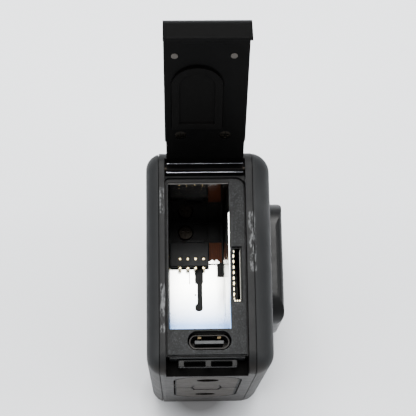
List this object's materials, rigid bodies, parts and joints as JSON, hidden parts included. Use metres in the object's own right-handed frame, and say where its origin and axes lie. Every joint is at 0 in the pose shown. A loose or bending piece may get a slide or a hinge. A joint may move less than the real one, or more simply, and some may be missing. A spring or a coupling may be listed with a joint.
{
  "type": "action camera",
  "caption": "Pocket action camera lying on its end with the battery door open, square lens cover, two displays and folding mount fingers.",
  "frame": {"origin": "centre of the end face that the camera lies on, which is the end opposite the battery door", "axes": "+Z out of the battery door's end, away from the face it rests on; +X towards the top of the camera, where the shutter button is; -Y the way the lens looks, so the rear display faces +Y"},
  "size_m": [0.0656, 0.0339, 0.1149],
  "materials": {
    "housing_rubber": "moulded soft black, fine matt grain",
    "seal_rubber": "smooth black silicone",
    "grained_plastic": "spark-eroded grain, dark grey",
    "mirror_steel": "polished sheet",
    "stamped_steel": "bright stamped sheet",
    "grey_plastic": "moulded grey",
    "gold_contact": "gold plated",
    "amber_film": "amber polyimide film",
    "dark_steel": "blackened",
    "port_steel": "satin",
    "port_plastic": "moulded",
    "pin_steel": "ground",
    "display_glass": "black cover glass",
    "display_module": "black back plate",
    "lens_black": "anodised black",
    "lens_glass": "coated glass",
    "circuit_board": "solder resist",
    "heat_aluminium": "rolled sheet",
    "switch_metal": "pressed can",
    "speaker_black": "moulded",
    "speaker_mesh": "woven mesh",
    "light_diffuser": "milky",
    "door_plastic": "satin black",
    "door_pad_rubber": "firm black pad",
    "button_plastic": "satin black",
    "finger_metal": "painted dark grey",
    "cover_metal": "satin black"
  },
  "bodies": {
    "housing": {"mid_frame": "housing_rubber", "front_shell": "housing_rubber", "rear_shell": "housing_rubber", "frame_gaskets": "seal_rubber", "side_panel": "grained_plastic", "door_seal": "seal_rubber", "bay_walls": "grained_plastic", "bay_ceiling_sheet": "mirror_steel", "bay_liner": "stamped_steel", "contact_block": "grey_plastic", "battery_contacts": "gold_contact", "flex_strip": "amber_film", "bay_boss": "dark_steel", "port_housing": "port_steel", "port_tongue": "port_plastic", "port_contacts": "gold_contact", "card_reader": "stamped_steel", "card_contacts": "gold_contact", "latch_keeper": "grey_plastic", "hinge_pin": "pin_steel", "front_glass": "display_glass", "front_display": "display_module", "rear_glass": "display_glass", "rear_display": "display_module", "lens_barrel": "lens_black", "front_element": "lens_glass", "inner_elements": "lens_glass", "lens_mount": "lens_black", "sensor_board": "circuit_board", "main_board": "circuit_board", "processor_shield": "stamped_steel", "heat_spreader": "heat_aluminium", "shutter_seal": "seal_rubber", "shutter_switch": "switch_metal", "mode_seal": "seal_rubber", "mode_switch": "switch_metal", "speaker": "speaker_black", "speaker_mesh": "speaker_mesh", "microphones": "switch_metal", "status_lights": "light_diffuser", "finger_pins": "pin_steel", "housing_screws": "dark_steel", "accessory_cradle": "grained_plastic"},
    "door": {"door_panel": "door_plastic", "door_plate": "door_plastic", "door_pad": "door_pad_rubber", "door_screws": "dark_steel", "door_magnets": "pin_steel"},
    "latch": {"door_latch": "door_plastic"},
    "shutter": {"shutter_button": "button_plastic"},
    "mode": {"mode_button": "button_plastic"},
    "door_finger": {"door_side_finger": "finger_metal"},
    "lens_finger": {"lens_side_finger": "finger_metal"},
    "cover": {"lens_cover": "cover_metal", "cover_glass": "lens_glass", "cover_seal": "seal_rubber"}
  },
  "joints": [
    {"name": "door_hinge", "type": "hinge", "parent": "housing", "child": "door", "pos_m": [0.0209, 0, 0.0704], "axis": [0, 1, 0], "range_deg": [-114.4, 0]},
    {"name": "latch_slide", "type": "slide", "parent": "door", "child": "latch", "axis": [0.4131, 0, 0.9107], "range_m": [0, 0.0006]},
    {"name": "shutter_press", "type": "slide", "parent": "housing", "child": "shutter", "axis": [-1, 0, 0], "range_m": [0, 0.0005], "stiffness_N_per_m": 1200, "springref_m": -0.0002},
    {"name": "mode_press", "type": "slide", "parent": "housing", "child": "mode", "axis": [0, 0, 1], "range_m": [0, 0.0004], "stiffness_N_per_m": 1200, "springref_m": -0.0002},
    {"name": "door_finger_fold", "type": "hinge", "parent": "housing", "child": "door_finger", "pos_m": [-0.0244, 0.0004, 0.0428], "axis": [0, -1, 0], "range_deg": [0, 90]},
    {"name": "lens_finger_fold", "type": "hinge", "parent": "housing", "child": "lens_finger", "pos_m": [-0.0244, 0.0004, 0.0376], "axis": [0, 1, 0], "range_deg": [0, 90]},
    {"name": "cover_twist", "type": "hinge", "parent": "housing", "child": "cover", "pos_m": [0.0077, -0.0169, 0.0186], "axis": [0, -1, 0], "range_deg": [0, 45]}
  ]
}
